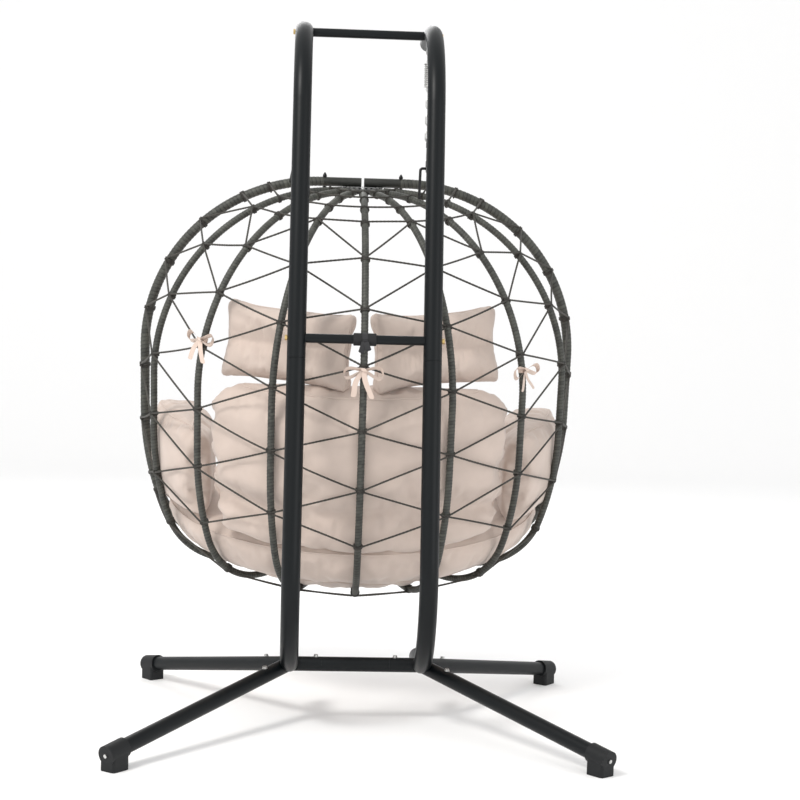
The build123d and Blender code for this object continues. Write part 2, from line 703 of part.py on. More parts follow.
def gap_cords(number):
    """Every cord between one rib and the next: rings near the hub, a zigzag, then the rim."""
    beside_hoop = is_hoop(number) or is_hoop(number + 1)
    pairs = [(row, row) for row in RING_ROWS if row > RING_ROWS[0] or not beside_hoop]
    rows, following = net_rows(number), net_rows(number + 1)
    even_first = len(rows) < len(following)
    odd, even = (following, rows) if even_first else (rows, following)
    for n in range(1, len(odd)):
        for m in (n - 1, n):
            if m < len(even):
                pairs.append((even[m], odd[n]) if even_first else (odd[n], even[m]))
    mirror = min(number, RIB_COUNT + 1 - number), min(number + 1, RIB_COUNT - number)
    pairs.append((RIM_AT[mirror[0] - 1], RIM_AT[mirror[1] - 1]))
    return [cord(number, here, there) for here, there in pairs]


def net(side):
    numbers = range(1, 5) if side > 0 else range(5, 9)
    cords = []
    for number in numbers:
        cords += gap_cords(number)
    return cords


def half_turned(outline):
    """Solid of revolution over the back half of the basket, from (r, h) points."""
    face = make_face(Polyline([(r, 0, -h) for r, h in outline], close=True))
    return revolve(face, Axis.Z, 180)


def seat_cushion():
    low = SEAT_BOTTOM
    outline = (
        (0, low), (392, low), (470, low - 26), (535, low - 78), (572, SEAT_TOP + 30),
        (572, SEAT_TOP + 12), (548, SEAT_TOP), (0, SEAT_TOP),
    )
    return BASKET * half_turned(outline)


def padded_body():
    """Everything inside the ribs and above the seat, which the other cushions are cut from."""
    low = SEAT_TOP - SOFT_GAP
    outline = (
        (0, BACK_TOP), (BACK_OUTER_R - 30, BACK_TOP), (BACK_OUTER_R, BACK_TOP + 40),
        (BACK_OUTER_R, low - 130), (BACK_OUTER_R - 24, low - 10), (BACK_OUTER_R - 34, low),
        (0, low),
    )
    return half_turned(outline)


def back_cushion():
    """Block across the back, with round shoulders."""
    keep = Pos(0, BACK_FRONT + BIG / 2, -BACK_TOP - BIG / 2)
    keep *= Box(2 * (ARM_INNER_X - SOFT_GAP), BIG, BIG)
    shoulders = keep.edges().filter_by(Axis.Y).sort_by(Axis.Z)[-2:]
    return BASKET * (padded_body() & fillet(shoulders, BACK_SHOULDER_R))


def arm_cushion(side):
    depth = BACK_FRONT - SOFT_GAP - ARM_PAD_FRONT
    keep = Pos(side * (ARM_INNER_X + BIG / 2), ARM_PAD_FRONT + depth / 2, -ARM_PAD_TOP - BIG / 2)
    keep *= Box(BIG, depth, BIG)
    inner = keep.edges().filter_by(Axis.Y).sort_by(Axis.Z)[-2:].sort_by(Axis.X)[0 if side > 0 else -1]
    return BASKET * (padded_body() & fillet(inner, ARM_PAD_ROUND))


def pillow_place(side):
    angle = 90.0 - side * PILLOW_TURN
    spot = Pos(PILLOW_R * cos(radians(angle)), PILLOW_R * sin(radians(angle)), -PILLOW_H)
    return BASKET * spot * Rot(0, 0, angle - 90.0) * Rot(PILLOW_TILT, 0, 0)


def pillow(side):
    body = Box(PILLOW_WIDTH, PILLOW_THICK, PILLOW_HEIGHT)
    body = fillet(body.edges().filter_by(Axis.X), 36)
    body = chamfer(body.faces().filter_by(Axis.X).edges(), 14)
    return pillow_place(side) * body


def bow(number, distance, turn):
    """A tied ribbon bow on the outside of a rib: knot, two loops and two tails."""
    r, h = rib_point(distance)
    slope = degrees((distance - TOP_RUN) / SHOULDER_R)
    place = BASKET * Rot(0, 0, rib_direction(number)) * Pos(r, 0, -h) * Rot(0, 0, -90)
    place *= Rot(max(90 - slope, 0), 0, 0) * Pos(0, RIB_D / 2 + 4, 0)
    parts = Box(12, 6, 11)
    for side in (1, -1):
        loop = Pos(side * 19, 0, 3) * Rot(0, -side * 12, 0) * Box(30, 3, 15)
        tail = Pos(side * 10, 0, -22) * Rot(0, -side * (16 + turn), 0) * Box(9, 2, 40)
        parts += loop + tail
    return place * parts


def pillow_ties():
    return [bow(3, 789, 6), bow(7, 849, 10), bow(5, 816, 2)]


def save(name, shapes):
    """Writes one node. Parts made of several separate solids go in as one compound."""
    shapes = shapes if isinstance(shapes, list) else [shapes]
    solids = [solid for shape in shapes for solid in shape.solids()]
    whole = solids[0] if len(solids) == 1 else Compound(children=solids)
    export_step(whole, f"parts/{name}.step")


def stand_nodes():
    nodes = {
        "arm_end_caps": arm_end_caps(),
        "top_crossbar": crossbar(TOP_BAR_Y, TOP_BAR_Z),
        "middle_crossbar": crossbar(MIDDLE_BAR_Y, MIDDLE_BAR_Z),
        "base_crossbar": base_crossbar(),
        "foot_screws": foot_screws(),
        "crossbar_bolts": crossbar_bolts(),
        "base_bolts": base_bolts(),
        "bumper_sleeve": bumper_sleeve(),
        "bumper_strap": bumper_strap(),
        "eye_bolts": eye_bolts(),
        "eye_bolt_nuts": eye_bolt_nuts(),
    }
    for name, side in SIDES:
        nodes[f"lower_arm_{name}"] = lower_arm(side)
        nodes[f"upper_arm_{name}"] = upper_arm(side)
        for place, end in (("front", -1), ("rear", 1)):
            nodes[f"{place}_leg_{name}"] = leg(side, end)
            nodes[f"{place}_foot_{name}"] = foot(side, end)
    return nodes


def suspension_nodes():
    nodes = {}
    for name, side in SIDES:
        nodes[f"upper_link_{name}"] = upper_link(side)
        nodes[f"spring_{name}"] = spring(side)
        nodes[f"chain_{name}"] = chain(side)
        nodes[f"carabiner_{name}"] = carabiner(side)
        nodes[f"gate_{name}"] = gate(side)
        nodes[f"hang_bracket_{name}"] = hang_bracket(side)
    return nodes


def basket_nodes():
    low = rib_point(rib_length())[1]
    nodes = {
        "hoop_left": rib_wrap(1),
        "hoop_right": rib_wrap(RIB_COUNT),
        "rib_cores": [rib_core(number) for number in range(1, RIB_COUNT + 1)],
        "top_hub_plates": hub_plates(0.0),
        "bottom_hub_plates": hub_plates(low),
        "hub_bolts": hub_bolts(),
        "lock_bolts": lock_bolts(),
        "net_left": net(1),
        "net_right": net(-1),
    }
    for number in range(2, RIB_COUNT):
        nodes[f"rib_{number}"] = rib_wrap(number)
    return nodes


def cushion_nodes():
    nodes = {
        "seat_cushion": seat_cushion(),
        "back_cushion": back_cushion(),
        "pillow_ties": pillow_ties(),
    }
    for name, side in SIDES:
        nodes[f"arm_cushion_{name}"] = arm_cushion(side)
        nodes[f"pillow_{name}"] = pillow(side)
    return nodes


os.makedirs("parts", exist_ok=True)
for group in (stand_nodes, suspension_nodes, basket_nodes, cushion_nodes):
    for node_name, node_shapes in group().items():
        save(node_name, node_shapes)
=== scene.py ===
import json
from math import cos, pi, radians, sin, sqrt

import bpy
import numpy as np
from mathutils import Matrix, Vector
from mathutils.bvhtree import BVHTree


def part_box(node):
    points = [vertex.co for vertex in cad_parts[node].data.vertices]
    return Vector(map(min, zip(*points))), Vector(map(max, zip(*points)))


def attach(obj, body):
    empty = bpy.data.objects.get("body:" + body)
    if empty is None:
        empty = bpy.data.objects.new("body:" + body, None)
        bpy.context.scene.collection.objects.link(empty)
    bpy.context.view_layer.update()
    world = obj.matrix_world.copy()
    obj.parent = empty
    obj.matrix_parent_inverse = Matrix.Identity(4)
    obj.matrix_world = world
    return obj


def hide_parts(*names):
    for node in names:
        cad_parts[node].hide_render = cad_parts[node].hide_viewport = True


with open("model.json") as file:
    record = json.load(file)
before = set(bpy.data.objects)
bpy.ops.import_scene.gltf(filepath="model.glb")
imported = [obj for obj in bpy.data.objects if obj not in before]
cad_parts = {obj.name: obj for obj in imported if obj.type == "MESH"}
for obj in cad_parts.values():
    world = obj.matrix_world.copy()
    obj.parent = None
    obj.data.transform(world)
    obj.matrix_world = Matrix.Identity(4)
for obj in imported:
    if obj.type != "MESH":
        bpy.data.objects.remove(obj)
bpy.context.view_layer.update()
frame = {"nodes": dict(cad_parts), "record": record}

# Hanging egg chair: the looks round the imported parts. Lengths in the names below are
# millimetres, as in the part's source, and are scaled to metres as each mesh is made.
MM = 0.001
RNG = np.random.default_rng(7)

# The basket's own frame, repeated from the part: x to the sitter's left, y back, z up its axis.
HUB = Vector((0.0, -375.08, 1494.0))
BASKET_LEAN = 12.0
RIB_COUNT = 9
RIB_D, HOOP_D = 20.0, 28.0
HOOP_START, HOOP_RISE = 4.0, 20.2
TOP_RUN, SHOULDER_R, SIDE_RUN = 125.0, 518.0, 165.0
FLANK_R, FLANK_TURN, SEAT_BEND_R = 870.0, 18.0, 242.0
SIDE_R = TOP_RUN + SHOULDER_R
WRAP_START = 68.0
LOCK_BOLT_X = 113.0
RING_ROWS = (105.0, 190.0, 268.0, 350.0)
ODD_ROWS = (350.0, 494.0, 650.0, 806.0, 983.0, 1151.0, 1325.0)
EVEN_ROWS = (350.0, 530.0, 703.0, 879.0, 1058.0, 1238.0)
RIM_AT = (1385.0, 1401.0, 1518.0, 1630.0, 1560.0)
CORD_D = 5.0

# Wound strip and tied cord
STRIP_PITCH = 9.5
STRIP_GROOVE = 1.1
HOOP_PITCH = 12.0
CORD_TWIST = 13.0
KNOT_TURNS = 2.2
KNOT_LIFT = 0.16  # how far a knot stands off its rib, in cord diameters
CORD_SAG = 3.0

# Cushions, in the basket's frame
SEAT_TOP, SEAT_BOTTOM = 930.0, 1098.0
BACK_FRONT, BACK_TOP, BACK_OUTER_R = 430.0, 487.0, 606.0
BACK_SHOULDER_X = 330.0  # the top welt stops here, where the shoulders turn down
ARM_INNER_X, ARM_PAD_FRONT, ARM_PAD_TOP = 442.0, 70.0, 640.0
PILLOW_WIDTH, PILLOW_HEIGHT, PILLOW_THICK = 372.0, 200.0, 92.0
PILLOW_TURN, PILLOW_TILT, PILLOW_R, PILLOW_H = 25.0, 11.0, 484.0, 378.0
PILLOW_EAR = 15.0  # how far a pillow's corners are drawn out
PILLOW_WAIST = 5.0  # how far its sides pull in between them
BACK_TUFTS_X = (148.0, -142.0)
BACK_TUFT_H = 818.0
CREASE_REACH, CREASE_DEPTH = 60.0, 20.0
LARGE_LUMP, LARGE_LUMP_HEIGHT = 150, 1.8
SMALL_LUMP, SMALL_LUMP_HEIGHT = 60, 0.8

# Ribbons
BOW_WIDTH = 15.0
STRAP_WIDTH = 15.0

SIDES = (("left", 1), ("right", -1))
BASKET = Matrix.Translation(HUB) @ Matrix.Rotation(radians(-BASKET_LEAN), 4, "X")


# ---------------------------------------------------------------- materials


def node_of(material, kind, **values):
    node = material.node_tree.nodes.new(kind)
    for name, value in values.items():
        node.inputs[name.replace("_", " ")].default_value = value
    return node


def plain(name, color, roughness, metallic=0.0, bump=0.0, grain=900.0, shine=0.5, spread=0.0):
    """A finish with a fine grain in its relief and a little unevenness in its colour."""
    material = bpy.data.materials.new(name)
    material.use_nodes = True
    tree = material.node_tree
    shader = tree.nodes["Principled BSDF"]
    shader.inputs["Base Color"].default_value = (*color, 1)
    shader.inputs["Roughness"].default_value = roughness
    shader.inputs["Metallic"].default_value = metallic
    shader.inputs["Specular IOR Level"].default_value = shine
    where = tree.nodes.new("ShaderNodeTexCoord")
    grain_noise = node_of(material, "ShaderNodeTexNoise", Scale=grain, Detail=3.0)
    tree.links.new(where.outputs["Object"], grain_noise.inputs["Vector"])
    if bump:
        relief = node_of(material, "ShaderNodeBump", Strength=bump, Distance=0.0004)
        tree.links.new(grain_noise.outputs["Fac"], relief.inputs["Height"])
        tree.links.new(relief.outputs["Normal"], shader.inputs["Normal"])
    if spread:
        patches = node_of(material, "ShaderNodeTexNoise", Scale=9.0, Detail=4.0)
        tree.links.new(where.outputs["Object"], patches.inputs["Vector"])
        ramp = tree.nodes.new("ShaderNodeValToRGB")
        ramp.color_ramp.elements[0].position = 0.3
        ramp.color_ramp.elements[1].position = 0.7
        ramp.color_ramp.elements[0].color = (*[c * (1 - spread) for c in color], 1)
        ramp.color_ramp.elements[1].color = (*[min(c * (1 + spread), 1) for c in color], 1)
        tree.links.new(patches.outputs["Fac"], ramp.inputs["Fac"])
        tree.links.new(ramp.outputs["Color"], shader.inputs["Base Color"])
    return material


def wound(name, dark, light, roughness, fibre_scale):
    """Wound strip or twisted cord: colour by the 'tone' of each turn, with painted shade in its grooves
    and, on the ribs, painted light towards the top.
    """
    material = bpy.data.materials.new(name)
    material.use_nodes = True
    tree = material.node_tree
    shader = tree.nodes["Principled BSDF"]
    shader.inputs["Roughness"].default_value = roughness
    # The 'tone' attribute holds each turn's random tone plus painted shade in the grooves and, on the
    # ribs, painted light towards the top.
    tone = tree.nodes.new("ShaderNodeAttribute")
    tone.attribute_name = "tone"
    ramp = tree.nodes.new("ShaderNodeValToRGB")
    ramp.color_ramp.elements[0].color = (*dark, 1)
    ramp.color_ramp.elements[1].color = (*light, 1)
    strand = tree.nodes.new("ShaderNodeAttribute")
    strand.attribute_name = "strand"
    fibre = node_of(material, "ShaderNodeTexNoise", Scale=fibre_scale, Detail=3.0)
    tree.links.new(strand.outputs["Vector"], fibre.inputs["Vector"])
    mix = tree.nodes.new("ShaderNodeMath")
    mix.operation = "MULTIPLY_ADD"
    mix.inputs[1].default_value = 0.55
    tree.links.new(fibre.outputs["Fac"], mix.inputs[0])
    lower = tree.nodes.new("ShaderNodeMath")
    lower.operation = "SUBTRACT"
    lower.inputs[1].default_value = 0.27
    tree.links.new(tone.outputs["Fac"], lower.inputs[0])
    tree.links.new(lower.outputs["Value"], mix.inputs[2])
    tree.links.new(mix.outputs["Value"], ramp.inputs["Fac"])
    tree.links.new(ramp.outputs["Color"], shader.inputs["Base Color"])
    relief = node_of(material, "ShaderNodeBump", Strength=0.35, Distance=0.0005)
    tree.links.new(fibre.outputs["Fac"], relief.inputs["Height"])
    tree.links.new(relief.outputs["Normal"], shader.inputs["Normal"])
    return material


def cloth_material(name, color, weave=1100.0, sheen=0.25):
    """Woven fabric: two crossed sets of threads in relief, soft blotches and a light sheen."""
    material = bpy.data.materials.new(name)
    material.use_nodes = True
    tree = material.node_tree
    shader = tree.nodes["Principled BSDF"]
    shader.inputs["Roughness"].default_value = 0.86
    shader.inputs["Sheen Weight"].default_value = sheen
    shader.inputs["Sheen Roughness"].default_value = 0.5
    where = tree.nodes.new("ShaderNodeTexCoord")
    threads = []
    for direction in ("X", "Z"):
        wave = node_of(material, "ShaderNodeTexWave", Scale=weave / (2 * pi), Distortion=0.6)
        wave.bands_direction = direction
        tree.links.new(where.outputs["Object"], wave.inputs["Vector"])
        threads.append(wave)
    both = tree.nodes.new("ShaderNodeMath")
    both.operation = "ADD"
    for place, wave in enumerate(threads):
        tree.links.new(wave.outputs["Fac"], both.inputs[place])
    relief = node_of(material, "ShaderNodeBump", Strength=0.22, Distance=0.0004)
    tree.links.new(both.outputs["Value"], relief.inputs["Height"])
    tree.links.new(relief.outputs["Normal"], shader.inputs["Normal"])
    blotch = node_of(material, "ShaderNodeTexNoise", Scale=14.0, Detail=6.0)
    tree.links.new(where.outputs["Object"], blotch.inputs["Vector"])
    ramp = tree.nodes.new("ShaderNodeValToRGB")
    ramp.color_ramp.elements[0].position = 0.25
    ramp.color_ramp.elements[1].position = 0.75
    ramp.color_ramp.elements[0].color = (*[c * 0.93 for c in color], 1)
    ramp.color_ramp.elements[1].color = (*[min(c * 1.05, 1) for c in color], 1)
    tree.links.new(blotch.outputs["Fac"], ramp.inputs["Fac"])
    tree.links.new(ramp.outputs["Color"], shader.inputs["Base Color"])
    return material


FINISHES = {
    "stand_paint": plain("stand_paint", (0.0030, 0.0045, 0.0055), 0.40, bump=0.12, grain=1500, shine=0.22),
    "end_cap": plain("end_cap", (0.42, 0.42, 0.41), 0.5, bump=0.1),
    "foot_plastic": plain("foot_plastic", (0.007, 0.008, 0.009), 0.55, bump=0.3, grain=700, shine=0.3),
    "zinc": plain("zinc", (0.55, 0.55, 0.54), 0.36, metallic=1.0, bump=0.15, spread=0.12),
    "yellow_zinc": plain("yellow_zinc", (0.72, 0.52, 0.22), 0.3, metallic=1.0, bump=0.1, spread=0.15),
    "foam": plain("foam", (0.012, 0.012, 0.013), 0.92, bump=0.6, grain=500),
    "strap": cloth_material("strap", (0.02, 0.02, 0.022), sheen=0.1),
    "black_metal": plain("black_metal", (0.005, 0.005, 0.006), 0.38, bump=0.1, shine=0.3),
    "core_steel": plain("core_steel", (0.03, 0.03, 0.031), 0.45, bump=0.2),
    "rattan": wound("rattan", (0.006, 0.007, 0.006), (0.105, 0.107, 0.090), 0.55, 3.0),
    "net_cord": wound("net_cord", (0.008, 0.007, 0.006), (0.070, 0.064, 0.053), 0.65, 3.0),
    "cushion_fabric": cloth_material("cushion_fabric", (0.56, 0.462, 0.405)),
    "ribbon": cloth_material("ribbon", (0.62, 0.50, 0.43)),
}


def finish_cad_nodes():
    """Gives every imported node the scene's own finish for its material slot."""
    slots = {part["node"]: part["material_slot"] for part in frame["record"]["subparts"]}
    for name, node in frame["nodes"].items():
        node.data.materials.clear()
        node.data.materials.append(FINISHES[slots[name]])


# ---------------------------------------------------------------- rib and cord routes


def rib_stretches(rise):
    flank = radians(FLANK_TURN)
    end_r = SIDE_R - FLANK_R * (1 - cos(flank)) - SEAT_BEND_R * cos(flank)
    return (
        ("line", TOP_RUN, 0.0),
        ("arc", SHOULDER_R, pi / 2),
        ("line", SIDE_RUN + rise, 0.0),
        ("arc", FLANK_R, flank),
        ("arc", SEAT_BEND_R, pi / 2 - flank),
        ("line", end_r, 0.0),
    )


def rib_point(distance, rise=0.0):
    """(r, h, heading) a distance along a rib's centre line, which starts on the basket's axis."""
    r, h, heading, left = 0.0, -rise, 0.0, distance
    for kind, size, turn in rib_stretches(rise):
        length = size if kind == "line" else size * turn
        step = min(left, length)
        if kind == "line":
            r, h = r + step * cos(heading), h + step * sin(heading)
        else:
            after = heading + step / size
            r += size * (sin(after) - sin(heading))
            h += size * (cos(heading) - cos(after))
            heading = after
        left -= step
        if left <= 0:
            break
    return r, h, heading


def rib_length(rise=0.0):
    return sum(size if kind == "line" else size * turn for kind, size, turn in rib_stretches(rise))


def is_hoop(number):
    return number in (1, RIB_COUNT)


def rib_angle(number):
    return radians((number - 1) * 180.0 / (RIB_COUNT - 1))


def local_rib_spot(number, distance):
    """Point, direction along the rib and outward direction, in the basket's frame."""
    rise = HOOP_RISE if is_hoop(number) else 0.0
    r, h, heading = rib_point(distance, rise)
    turn = rib_angle(number)
    out = Vector((cos(turn), sin(turn), 0))
    along = out * cos(heading) - Vector((0, 0, sin(heading)))
    normal = out * sin(heading) + Vector((0, 0, cos(heading)))
    return out * r - Vector((0, 0, h)), along, normal


def cord_spot(number, distance):
    """Where a net cord meets a rib: the hoops' longer start is allowed for, as in the part."""
    return local_rib_spot(number, distance + (HOOP_RISE / 2 if is_hoop(number) else 0.0))


def rib_radius(number):
    return (HOOP_D if is_hoop(number) else RIB_D) / 2


# ---------------------------------------------------------------- mesh builders


class Skin:
    """Collects tubes into one mesh, with a tone and a strand coordinate at each vertex."""

    def __init__(self):
        self.points, self.faces, self.tone, self.strand = [], [], [], []
        self.count = 0

    def tube(self, path, side_dirs, radius, tone, sides):
        """path and side_dirs are (n, 3) arrays. radius and tone are functions of (s, angle)."""
        path, normal = np.asarray(path, float), np.asarray(side_dirs, float)
        tangent = np.gradient(path, axis=0)
        tangent /= np.linalg.norm(tangent, axis=1)[:, None]
        normal = normal - (normal * tangent).sum(1)[:, None] * tangent
        normal /= np.linalg.norm(normal, axis=1)[:, None]
        binormal = np.cross(tangent, normal)
        steps = np.linalg.norm(np.diff(path, axis=0), axis=1)
        s = np.concatenate([[0.0], np.cumsum(steps)])[:, None]
        angle = (np.arange(sides) * 2 * pi / sides)[None, :]
        size = radius(s, angle) * np.ones((len(path), sides))
        ring = np.cos(angle)[..., None] * normal[:, None] + np.sin(angle)[..., None] * binormal[:, None]
        skin = path[:, None] + size[..., None] * ring
        rows, base = len(path), self.count
        index = base + np.arange(rows * sides).reshape(rows, sides)
        right = np.roll(index, -1, axis=1)
        quads = np.stack([index[:-1], right[:-1], right[1:], index[1:]], axis=-1).reshape(-1, 4)
        self.faces += quads.tolist() + [index[0][::-1].tolist(), index[-1].tolist()]
        self.points.append(skin.reshape(-1, 3))
        self.tone.append((tone(s, angle) * np.ones((rows, sides))).ravel())
        around = np.broadcast_to(angle, (rows, sides))
        along = np.broadcast_to(s, (rows, sides))
        strand = np.stack([0.5 * np.cos(around), 0.5 * np.sin(around), 0.9 * along], axis=-1)
        self.strand.append(strand.reshape(-1, 3))
        self.count += rows * sides

    def build(self, name, material, matrix=BASKET):
        points = np.concatenate(self.points)
        world = points @ np.array(matrix.to_3x3()).T + np.array(matrix.translation)
        mesh = bpy.data.meshes.new(name)
        mesh.from_pydata((world * MM).tolist(), [], self.faces)
        mesh.attributes.new("tone", "FLOAT", "POINT").data.foreach_set("value", np.concatenate(self.tone))
        strand = mesh.attributes.new("strand", "FLOAT_VECTOR", "POINT")
        strand.data.foreach_set("vector", np.concatenate(self.strand).ravel())
        mesh.materials.append(material)
        mesh.shade_smooth()
        piece = bpy.data.objects.new(name, mesh)
        bpy.context.scene.collection.objects.link(piece)
        return piece


def turn_tone(turns, base, spread):
    """A steady random tone for each whole turn of a winding."""
    table = base + spread * (RNG.random(4096) - 0.5)
    return table[np.mod(np.floor(turns).astype(int), 4096)]


def wound_rib(number):
    """A rib wound with flat strip: each turn overlaps the last and leaves a groove."""
    hoop = is_hoop(number)
    rise = HOOP_RISE if hoop else 0.0
    pitch = HOOP_PITCH if hoop else STRIP_PITCH
    start = HOOP_START if hoop else WRAP_START
    finish = rib_length(rise) - WRAP_START
    distances = np.arange(start, finish, pitch / 7)
    spots = [local_rib_spot(number, d) for d in distances]
    path = np.array([spot[0] for spot in spots])
    outward = np.array([spot[2] for spot in spots])
    outer = rib_radius(number)
    phase = RNG.random()

    def turns(s, angle):
        return s / pitch - angle / (2 * pi) + phase

    def radius(s, angle):
        part = np.mod(turns(s, angle), 1.0)
        ridge = STRIP_GROOVE * np.abs(2 * part - 1) ** 5 + 0.5 * part
        return np.where(hoop & (s < LOCK_BOLT_X - start), outer - 0.4, outer - ridge + 0.25)

    def tone(s, angle):
        part = np.mod(turns(s, angle), 1.0)
        # Painted shade: each turn of strip is darkened in the groove it leaves against the next.
        groove = 0.5 * np.abs(2 * part - 1) ** 6
        # Painted light: the winding is lighter over its first few hundred millimetres, at the basket's
        # top, and darker lower down, as if lit from above.
        height = 0.16 * np.exp(-s / 420.0)
        # Each turn's random tone, with the painted light added and the painted groove shade taken off.
        tone_with_painted_light_and_shade = turn_tone(turns(s, angle), 0.40, 0.30) + height - groove
        return np.where(hoop & (s < LOCK_BOLT_X - start), 0.14, tone_with_painted_light_and_shade)

    skin = Skin()
    skin.tube(path, outward, radius, tone, 26 if hoop else 20)
    name = {1: "hoop_left", RIB_COUNT: "hoop_right"}.get(number, f"rib_{number}")
    piece = skin.build(f"{name}_wound", FINISHES["rattan"])
    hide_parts(name)
    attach(piece, "basket")


def twisted(s, angle):
    return CORD_D / 2 * (1.08 + 0.14 * np.cos(2 * (angle - 2 * pi * s / CORD_TWIST)))


def tone_with_painted_twist_shade(base):
    def tone(s, angle):
        # Painted shade: darker in the grooves of the cord's twist and lighter on the crowns of its
        # strands, added to the cord's own base tone.
        return base + 0.16 * np.cos(2 * (angle - 2 * pi * s / CORD_TWIST))

    return tone


def net_rows(number):
    return ODD_ROWS if number % 2 else EVEN_ROWS


def gap_pairs(number):
    """Distances along a rib and the next where each cord between them is tied, as in the part."""
    beside_hoop = is_hoop(number) or is_hoop(number + 1)
    pairs = [(row, row) for row in RING_ROWS if row > RING_ROWS[0] or not beside_hoop]
    rows, following = net_rows(number), net_rows(number + 1)
    even_first = len(rows) < len(following)
    odd, even = (following, rows) if even_first else (rows, following)
    for n in range(1, len(odd)):
        for m in (n - 1, n):
            if m < len(even):
                pairs.append((even[m], odd[n]) if even_first else (odd[n], even[m]))
    ribs = min(number, RIB_COUNT + 1 - number), min(number + 1, RIB_COUNT - number)
    pairs.append((RIM_AT[ribs[0] - 1], RIM_AT[ribs[1] - 1]))
    return pairs


def tied_cord(skin, number, distance, next_distance):
    """A cord from the outside of one rib to the next, a little slack, with its ends on the ribs."""
    here, _, out_here = cord_spot(number, distance)
    there, _, out_there = cord_spot(number + 1, next_distance)
    lift_here = rib_radius(number) + CORD_D * 0.35
    lift_there = rib_radius(number + 1) + CORD_D * 0.35
    way = (there - here).normalized()
    start = here + (out_here * 0.75 + way * 0.66).normalized() * lift_here
    end = there + (out_there * 0.75 - way * 0.66).normalized() * lift_there
    slack = CORD_SAG * (0.5 + RNG.random()) * (end - start).length / 200
    side = Vector((RNG.random() - 0.5, RNG.random() - 0.5, 1.2 * RNG.random() - 0.9)) * slack
    count = max(8, int((end - start).length / 4))
    path = []
    for k in range(count + 1):
        t = k / count
        path.append(start.lerp(end, t) + side * (4 * t * (1 - t)))
    normals = [out_here.lerp(out_there, k / count) for k in range(count + 1)]
    skin.tube(path, normals, twisted, tone_with_painted_twist_shade(0.38 + 0.2 * RNG.random()), 8)


def knot(skin, number, distance, turns=KNOT_TURNS):
    """The cord wound a few turns round a rib where it is tied."""
    centre, along, outward = cord_spot(number, distance)
    across = along.cross(outward)
    radius = rib_radius(number) + CORD_D * KNOT_LIFT
    phase = RNG.random() * 2 * pi
    path, normals = [], []
    steps = int(turns * 22)
    for k in range(steps + 1):
        t = k / steps
        a = phase + t * turns * 2 * pi
        ray = outward * cos(a) + across * sin(a)
        wobble = 0.8 * sin(3 * a + phase)
        path.append(centre + ray * radius + along * ((t - 0.5) * turns * CORD_D * 0.92 + wobble))
        normals.append(ray)
    skin.tube(path, normals, twisted, tone_with_painted_twist_shade(0.30), 7)


def rib_ties(number):
    rows = [row for row in RING_ROWS[:-1] if row > RING_ROWS[0] or not is_hoop(number)]
    return rows + list(net_rows(number)) + [RIM_AT[min(number, RIB_COUNT + 1 - number) - 1]]


def net(side_name, side):
    """One half of the net: every cord and the windings where they are tied."""
    skin = Skin()
    for number in range(1, 5) if side > 0 else range(5, 9):
        for here, there in gap_pairs(number):
            tied_cord(skin, number, here, there)
        here, there = gap_pairs(number)[-1]
        tied_cord(skin, number, here + 9, there + 9)
    for number in range(1, 6) if side > 0 else range(6, 10):
        for row in rib_ties(number):
            knot(skin, number, row, 1.4 if row < 300 else KNOT_TURNS)
    piece = skin.build(f"net_{side_name}_tied", FINISHES["net_cord"])
    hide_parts(f"net_{side_name}")
    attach(piece, "basket")


# ---------------------------------------------------------------- cushions


def evaluated_mesh(piece):
    graph = bpy.context.evaluated_depsgraph_get()
    return bpy.data.meshes.new_from_object(piece.evaluated_get(graph), depsgraph=graph)


def apply_modifiers(piece):
    mesh = evaluated_mesh(piece)
    piece.modifiers.clear()
    piece.data = mesh


def remeshed_copy(node, name, voxel):
    mesh = frame["nodes"][node].data.copy()
    mesh.materials.clear()
    piece = bpy.data.objects.new(name, mesh)
    bpy.context.scene.collection.objects.link(piece)
    remesh = piece.modifiers.new("remesh", "REMESH")
    remesh.mode = "VOXEL"
    remesh.voxel_size = voxel
    apply_modifiers(piece)
    return piece


def coordinates(mesh):
    flat = np.empty(len(mesh.vertices) * 3)
    mesh.vertices.foreach_get("co", flat)
    return flat.reshape(-1, 3)


def set_coordinates(mesh, points):
    mesh.vertices.foreach_set("co", np.asarray(points).ravel())
    mesh.update()


def normals_of(mesh):
    flat = np.empty(len(mesh.vertices) * 3)
    mesh.vertices.foreach_get("normal", flat)
    return flat.reshape(-1, 3)


def to_basket(points):
    """World metres to the basket's frame in millimetres."""
    inverse = BASKET.inverted()
    return (points / MM) @ np.array(inverse.to_3x3()).T + np.array(inverse.translation)


def inflate(piece, pins, pressure, steps, cap):
    """Cloth blown up from inside, held at the pins. No point moves further than cap."""
    group = piece.vertex_groups.new(name="pins")
    for index in np.nonzero(pins)[0]:
        group.add([int(index)], 1.0, "REPLACE")
    before = coordinates(piece.data)
    cloth = piece.modifiers.new("cloth", "CLOTH")
    settings = cloth.settings
    settings.quality = 6
    settings.mass = 0.25
    settings.tension_stiffness = 12
    settings.compression_stiffness = 4
    settings.shear_stiffness = 4
    settings.bending_stiffness = 0.12
    settings.use_pressure = True
    settings.uniform_pressure_force = pressure
    settings.shrink_min = -0.07
    settings.effector_weights.gravity = 0
    settings.vertex_group_mass = "pins"
    cloth.point_cache.frame_start = 1
    cloth.point_cache.frame_end = steps
    scene = bpy.context.scene
    scene.frame_end = steps
    for step in range(1, steps + 1):
        scene.frame_set(step)
    after = coordinates(evaluated_mesh(piece))
    piece.modifiers.clear()
    move = after - before
    length = np.linalg.norm(move, axis=1, keepdims=True)
    move *= np.minimum(1.0, cap / np.maximum(length, 1e-9))
    set_coordinates(piece.data, before + move)
    scene.frame_set(1)


